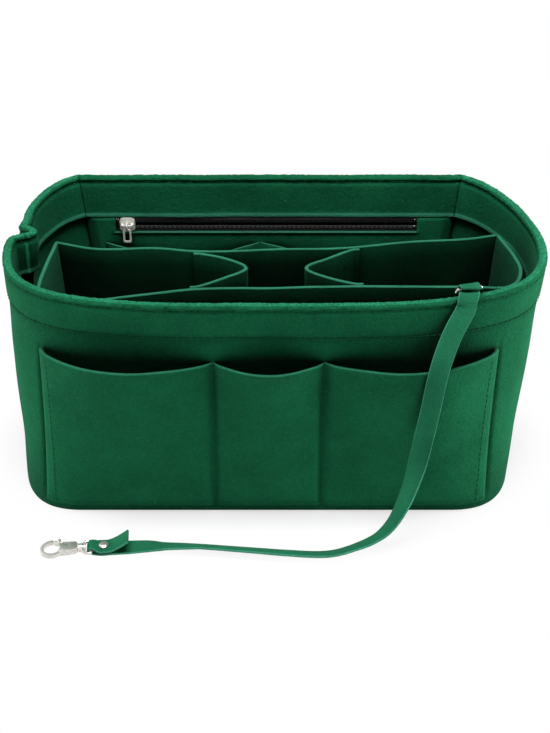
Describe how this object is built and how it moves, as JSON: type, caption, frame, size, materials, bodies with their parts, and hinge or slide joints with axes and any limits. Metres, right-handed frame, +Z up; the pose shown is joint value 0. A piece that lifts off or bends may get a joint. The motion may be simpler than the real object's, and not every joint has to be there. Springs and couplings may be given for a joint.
{
  "type": "purse organizer insert",
  "caption": "Open felt tub insert for a handbag, with outer pockets, a zip pocket and slip pocket inside, a loose divider with cells, and a felt key strap ending in a swivel clasp.",
  "frame": {"origin": "centre of the base's underside, on the surface the tub stands on", "axes": "+X to the right along the tub, -Y toward the front with the key strap, +Z up"},
  "size_m": [0.2913, 0.2082, 0.1377],
  "materials": {
    "green_felt": "matte needled felt",
    "black_tape": "woven tape",
    "black_teeth": "satin",
    "nickel": "polished nickel plate"
  },
  "bodies": {
    "tub": {"base_panel": "green_felt", "front_and_end_wall": "green_felt", "back_wall": "green_felt", "front_pocket_panel": "green_felt", "back_pocket_panel": "green_felt", "zip_pocket_panel": "green_felt", "zip_tape_upper": "black_tape", "zip_tape_lower": "black_tape", "zip_teeth_upper": "black_teeth", "zip_teeth_lower": "black_teeth", "zip_end_stop": "nickel", "zip_top_stop_upper": "nickel", "zip_top_stop_lower": "nickel", "slip_pocket_panel": "green_felt", "strap_ring": "nickel", "strap_ring_tab": "green_felt", "key_strap": "green_felt", "strap_rivet": "nickel", "clasp_eye": "nickel"},
    "divider": {"divider_back_panel": "green_felt", "divider_front_panel": "green_felt", "divider_left_end": "green_felt", "divider_right_end": "green_felt", "divider_left_partition": "green_felt", "divider_right_partition": "green_felt"},
    "slider": {"zip_slider": "nickel"},
    "pull": {"zip_pull": "nickel"},
    "hook": {"clasp_hook": "nickel", "clasp_gate_pin": "nickel", "clasp_gate_spring": "nickel"},
    "gate": {"clasp_gate": "nickel"}
  },
  "joints": [
    {"name": "divider_lift", "type": "slide", "parent": "tub", "child": "divider", "axis": [0, 0, 1], "range_m": [0, 0.2]},
    {"name": "zip_run", "type": "slide", "parent": "tub", "child": "slider", "axis": [1, 0, 0], "range_m": [0, 0.1685]},
    {"name": "pull_swing", "type": "hinge", "parent": "slider", "child": "pull", "pos_m": [-0.0867, 0.06861, 0.10604], "axis": [-1, 0, 0], "range_deg": [0, 170]},
    {"name": "clasp_swivel", "type": "hinge", "parent": "tub", "child": "hook", "pos_m": [-0.0932, -0.107, 0.0039], "axis": [-0.9957, -0.0923, 0], "continuous": true},
    {"name": "gate_press", "type": "hinge", "parent": "hook", "child": "gate", "pos_m": [-0.10666, -0.10594, 0.0039], "axis": [0, 0, 1], "range_deg": [0, 25], "stiffness_Nm_per_rad": 0.01}
  ]
}
